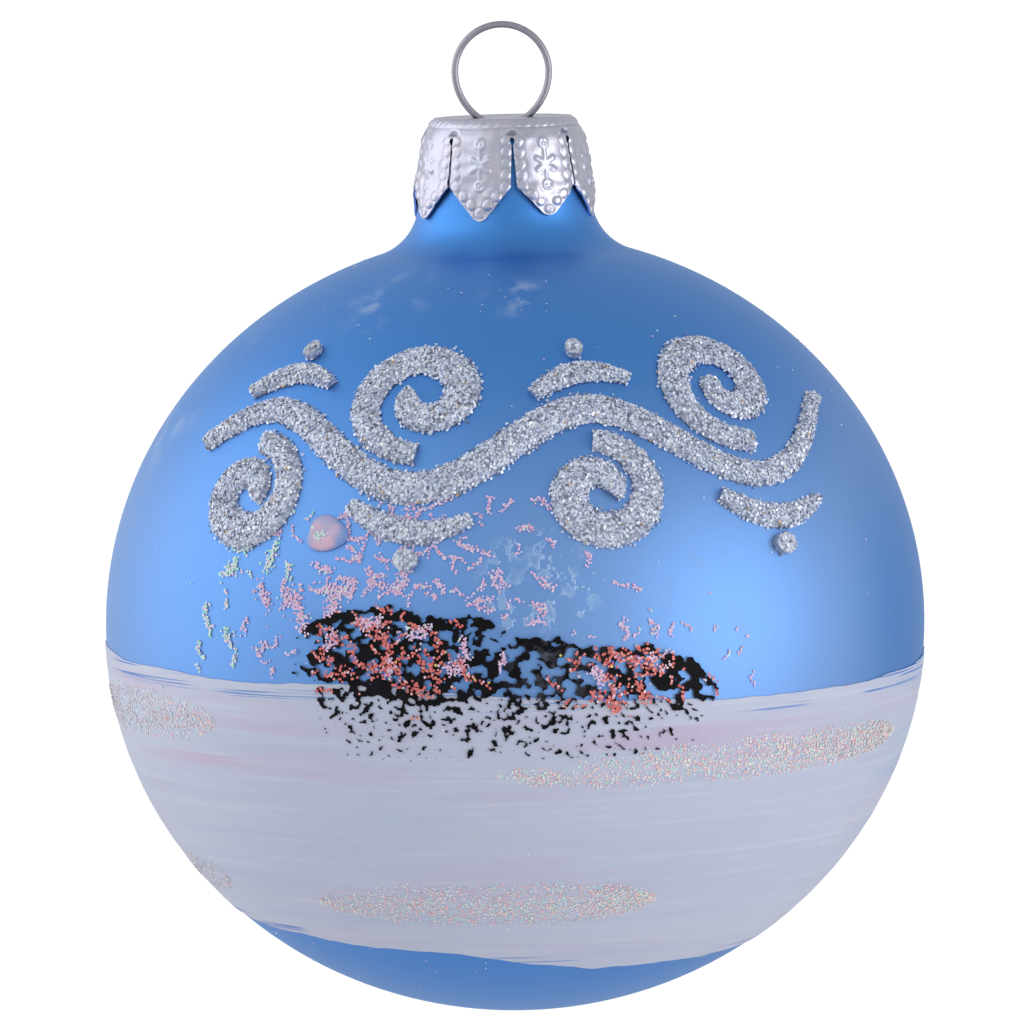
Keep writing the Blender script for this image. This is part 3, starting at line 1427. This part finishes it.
MINT_CLUMPS = [
    ((-39.2, 21.5), -100, 3.0, 1.0), ((-40.0, 17.4), -125, 3.6, 1.6), ((-42.4, 14.0), -100, 2.4, 1.7),
    ((-35.7, 17.4), -62, 3.4, 1.1), ((-33.4, 14.0), -60, 2.0, 0.6), ((-47.4, 7.6), -95, 3.6, 0.8),
    ((-48.5, 2.2), -105, 2.2, 0.8), ((-43.2, 8.8), -95, 1.4, 0.5), ((-43.0, 4.2), -80, 1.8, 1.2),
    ((-41.6, 1.8), -60, 2.2, 0.6), ((-34.9, 21.5), 5, 1.2, 0.4), ((-40.2, 12.6), 0, 1.0, 0.4),
    ((-43.6, 10.0), -80, 0.6, 0.4), ((-49.2, -1.2), -90, 0.9, 0.5), ((-58.2, -5.2), 0, 0.5, 0.2),
    ((-31.4, 20.0), 60, 1.2, 0.4), ((-51.5, 10.2), 0, 0.3, 0.2),
]
ROSE_CLUMPS = [
    ((-33.4, 11.8), -115, 3.0, 0.6), ((-35.4, 8.2), -130, 3.0, 1.3), ((-38.8, 5.6), 180, 1.8, 0.7),
    ((-33.0, 8.6), -10, 2.0, 1.8), ((-31.0, 7.6), -95, 2.4, 1.5), ((-28.8, 14.0), -20, 2.2, 1.0),
    ((-27.0, 11.4), -90, 3.2, 2.0), ((-25.0, 9.4), -100, 2.0, 1.4), ((-25.8, 20.4), 40, 2.6, 1.1),
    ((-24.2, 17.6), 40, 2.2, 0.8), ((-25.6, 14.6), 25, 3.2, 0.4), ((-36.2, 2.6), -100, 1.6, 1.3),
    ((-33.8, 3.6), -80, 1.6, 0.6), ((-16.4, 24.6), -30, 1.4, 0.6), ((-15.8, 21.0), -100, 2.6, 0.7),
    ((-17.0, 10.8), -10, 1.8, 1.5), ((-19.6, 15.4), -80, 2.6, 0.5), ((-18.0, 12.6), -150, 2.4, 0.5),
    ((-14.0, 10.6), 20, 1.6, 0.8), ((-10.8, 12.0), -30, 2.0, 0.7), ((-11.2, 24.0), -20, 2.6, 0.6),
    ((-12.2, 19.0), 30, 1.6, 0.5), ((-8.2, 15.2), -60, 1.8, 0.5), ((-2.2, 21.4), -10, 2.2, 0.5),
    ((0.6, 17.0), -40, 1.6, 0.4), ((3.8, 11.6), -80, 1.6, 0.8), ((2.4, 8.0), 10, 1.6, 0.8),
    ((13.4, 10.8), -60, 3.0, 0.6), ((14.6, 5.6), -95, 2.6, 0.7), ((18.2, 5.2), -60, 1.8, 0.7),
    ((23.0, 4.8), -30, 1.4, 0.5), ((20.8, 3.4), 20, 1.2, 0.4), ((29.0, -1.2), 40, 1.4, 0.3),
    ((33.2, -3.6), -100, 1.4, 0.3), ((-22.6, 12.0), -60, 2.2, 1.0), ((-20.6, 19.2), -110, 2.2, 0.5),
    ((-37.0, -0.2), -60, 1.2, 0.5), ((-34.6, -0.8), -120, 1.2, 0.4), ((-30.8, 1.8), -90, 1.4, 0.5),
    ((-21.4, 6.4), -40, 2.4, 1.6), ((-14.6, 4.8), -60, 2.6, 1.3), ((-7.0, 3.8), -100, 2.4, 1.0),
    ((-9.8, -0.6), -60, 2.6, 1.2), ((-26.4, 2.2), 20, 2.0, 0.9), ((-2.0, 1.6), -60, 2.2, 0.8),
    ((1.6, 5.4), 10, 1.6, 0.7), ((-16.8, 1.0), -70, 2.2, 0.8), ((9.6, -1.6), -30, 2.4, 1.1),
]
CORAL_CLUMPS = [
    ((-27.5, 5.0), -10, 3.4, 1.4), ((-22.6, 6.6), -20, 4.2, 1.6), ((-18.8, 7.4), -10, 4.6, 1.5),
    ((-27.0, 2.6), -60, 2.6, 0.9), ((-22.4, 3.0), -70, 3.0, 1.0), ((-17.6, 3.8), -60, 3.6, 1.5),
    ((-14.0, 2.0), -70, 3.4, 1.7), ((-20.6, -0.6), -20, 3.6, 1.6), ((-12.0, -0.8), -60, 3.2, 1.4),
    ((-11.6, 4.6), -30, 3.0, 1.3), ((-26.6, -1.6), -20, 3.6, 1.0), ((-17.0, -2.4), -10, 3.4, 1.0),
    ((-6.4, -1.6), -40, 2.2, 0.8), ((10.6, 0.4), -60, 3.4, 1.8), ((13.6, 0.8), -50, 3.6, 1.9),
    ((16.4, 1.4), -10, 3.6, 1.2), ((12.0, -2.6), -20, 3.6, 2.0), ((9.4, -4.4), -20, 3.4, 1.2),
    ((16.0, -2.2), -100, 3.0, 1.4), ((20.4, 1.0), -20, 2.2, 0.7), ((22.0, -3.8), -40, 1.8, 0.7),
    ((26.6, -2.6), -40, 1.6, 0.5), ((27.4, -4.8), -70, 1.4, 0.4), ((4.0, -2.0), -40, 2.2, 0.6),
    ((-8.2, 6.4), -90, 1.2, 0.5), ((-14.6, -7.6), -30, 1.0, 0.4), ((18.6, -5.6), -20, 1.8, 0.5),
    ((7.4, -6.6), 0, 1.2, 0.3), ((-28.4, -3.8), 10, 1.4, 0.4),
]
mint_found = [spot for row in MINT_CLUMPS for spot in clump(*row)]
rose_found = [spot for row in ROSE_CLUMPS for spot in clump(*row)]
for _ in range(70):
    loose_start = (chance.normal(-13, 9), chance.uniform(8, 24))
    length = chance.uniform(0.8, 2.8)
    rose_found += clump(loose_start, chance.uniform(-180, 180), length, chance.uniform(0.25, 0.7))


def loose_clumps(count, turns, heights, ways, lengths, width):
    """Short clumps at chance places between the given limits."""
    found = []
    for _ in range(count):
        loose_start = (chance.uniform(*turns), chance.uniform(*heights))
        found += clump(loose_start, chance.uniform(*ways), chance.uniform(*lengths), width)
    return found


ANY_WAY = (-180, 180)
rose_found += loose_clumps(16, (8, 34), (-4, 9), (-120, 20), (0.4, 1.4), 0.25)
coral_found = [spot for row in CORAL_CLUMPS for spot in clump(*row, closeness=0.30)]
coral_found += loose_clumps(40, (-29, -7), (-4, 7.5), ANY_WAY, (0.2, 1.6), 0.3)
coral_found += loose_clumps(30, (6, 24), (-6, 2), ANY_WAY, (0.2, 1.4), 0.3)
coral_found = [(t, h) for t, h in coral_found if h < along_edge(DARK_TOP, t) + CORAL_REACH]
strew_clumps("mint_clumps", mint_found, mint_foil, (0.11, 0.15), "rose_glitter")
strew_clumps("rose_clumps", rose_found, rose_foil, (0.10, 0.14), "rose_glitter")
strew_clumps("coral_clumps", coral_found, coral_foil, (0.12, 0.16), "rose_glitter")

# %% Stray specks
STRAYS = 260
GRAIN_STRAY = (0.05, 0.10)
stray_turns = chance.uniform(-115, 115, STRAYS)
stray_heights = chance.uniform(-62, 72, STRAYS)
strays = list(zip(stray_turns, stray_heights))
strew_clumps("stray_specks", strays, ice_foil, GRAIN_STRAY, "rose_glitter", thick=0.8)

# %% [markdown]
# ## Iridescent streaks on the snow
#
# Strokes of clear glue on the snow hold a very fine pastel glitter. The long stroke on the right is
# sparse and pink where the brush set down and close and creamy where it lifted off. Every place in a
# stroke is tried, and the chance of a grain grows with how close it should be there.

# %% The streaks
GRAIN_ICE = (0.075, 0.11)


def streak(name, node, middle, half_turn, half_height, count, sparse_end=0.0, tilt=0.0):
    """Grains in a lens-shaped stroke. Its sparse end is the left one."""
    along = chance.uniform(-1, 1, count * 3)
    across = chance.uniform(-1, 1, count * 3)
    outline = (1 - np.abs(along) ** 3.5) ** 0.6
    turn = middle[0] + along * half_turn
    height = middle[1] + across * half_height * outline + tilt * along
    spots = on_ball(turn, height)
    ragged = 0.35 * cloudy(spots, 1.6 * MM, 31.0) + 0.25 * cloudy(spots * (1, 1, 3), 4.0 * MM, 37.0)
    share = np.clip((along + 1) / 2, 0, 1)
    close = 1.0 - sparse_end * (1 - share) ** 0.8 - 0.55 * np.abs(across) ** 3 + ragged
    kept = np.flatnonzero(chance.random(count * 3) < close * 0.8)[:count]
    spots = list(zip(turn[kept], height[kept]))
    strew_clumps(name, spots, ice_foil, GRAIN_ICE, node, lean=0.12, thick=0.3)


streak("streak_right", "glitter_streak_right", (33.0, -15.9), 36.0, 3.4, 3800, sparse_end=0.75, tilt=0.6)
streak("streak_left", "glitter_streak_left", (-68.0, -9.4), 21.5, 3.6, 1500)
streak("streak_low", "glitter_streak_low", (-7.0, -38.9), 31.0, 4.4, 2700, sparse_end=0.5)
streak("streak_corner", "glitter_streak_corner", (-71.0, -36.4), 10.5, 3.2, 420)

# %% [markdown]
# ## The drop of pearly glue
#
# One drop of glue stood on its own and dried to a milky dome with a few grains caught in it. It is a
# squashed sphere cut in half, pushed out of round by a few waves, and laid on the glass.

# %% The drop
DROP_AT = (-27.6, 18.3)
DROP_HALF = (2.1, 1.85)
DROP_HIGH = 0.50 * MM
CAUGHT = 34
SUNK = 0.36 * MM
drop = start(
    "pearl_glue_drop", bpy.ops.mesh.primitive_uv_sphere_add, segments=64, ring_count=32, radius=1
)
bpy.ops.object.mode_set(mode="EDIT")
bpy.ops.mesh.select_all(action="SELECT")
bpy.ops.mesh.bisect(
    plane_co=(0, 0, -0.1), plane_no=(0, 0, 1), clear_inner=True, use_fill=True, threshold=0.0001
)
bpy.ops.object.mode_set(mode="OBJECT")
raw = read_places(drop)
around = np.arctan2(raw[:, 1], raw[:, 0])
swell = 1 + 0.12 * np.cos(around + 0.25) ** 3 + 0.07 * np.cos(3 * around + 0.4)
swell = swell + 0.02 * np.cos(5 * around)
across = np.degrees(raw[:, 0] * swell * DROP_HALF[0] * MM / HALF_WIDTH)
upward = np.degrees(raw[:, 1] * swell * DROP_HALF[1] * MM / HALF_WIDTH)
dome = np.clip(raw[:, 2], -0.1, 1)
sunk = 1 - 0.22 * rise(np.hypot(raw[:, 0] + 0.15, raw[:, 1] + 0.1), 0.1, 0.7)
lift = 0.03 * MM + DROP_HIGH * np.clip(dome + 0.1, 0, 1) ** 0.7 * sunk
drop_turn = DROP_AT[0] + across / math.cos(math.radians(DROP_AT[1]))
write_places(drop, on_ball(drop_turn, DROP_AT[1] + upward, lift))
tidy(drop, merge=HAIR, angle=70)
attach(drop, "ball")
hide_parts("pearl_drop")


def pearl():
    milk = Finish("pearl_glue")
    swirl = milk.cloud((420, 420, 700), 2)
    flow = milk.cloud((900, 900, 1900), 3)
    edge = milk.near(on_ball(*DROP_AT, 0.4 * MM), 2.4 * MM)
    milky = milk.mix(swirl.between(0.4, 0.62), shade(172, 168, 206), shade(214, 176, 200))
    clear = milk.mix(edge.between(0.02, 0.38), shade(122, 152, 214), milky)
    return milk.surface(
        base_color=clear,
        roughness=0.34 + flow * 0.1,
        coat_weight=0.35,
        coat_roughness=0.22,
        normal=milk.bump(flow, 0.05 * MM),
    )


drop.data.materials.append(pearl())
offsets = chance.normal(0, 0.75, (CAUGHT, 2)) * (1, 0.6) + (-0.4, -0.5)
caught = [(DROP_AT[0] + x, DROP_AT[1] + y) for x, y in offsets]
GRAIN_CAUGHT = (0.12, 0.17)
strew_clumps("caught_grains", caught, mint_foil, GRAIN_CAUGHT, "pearl_drop", raised=SUNK)
tell(drop)
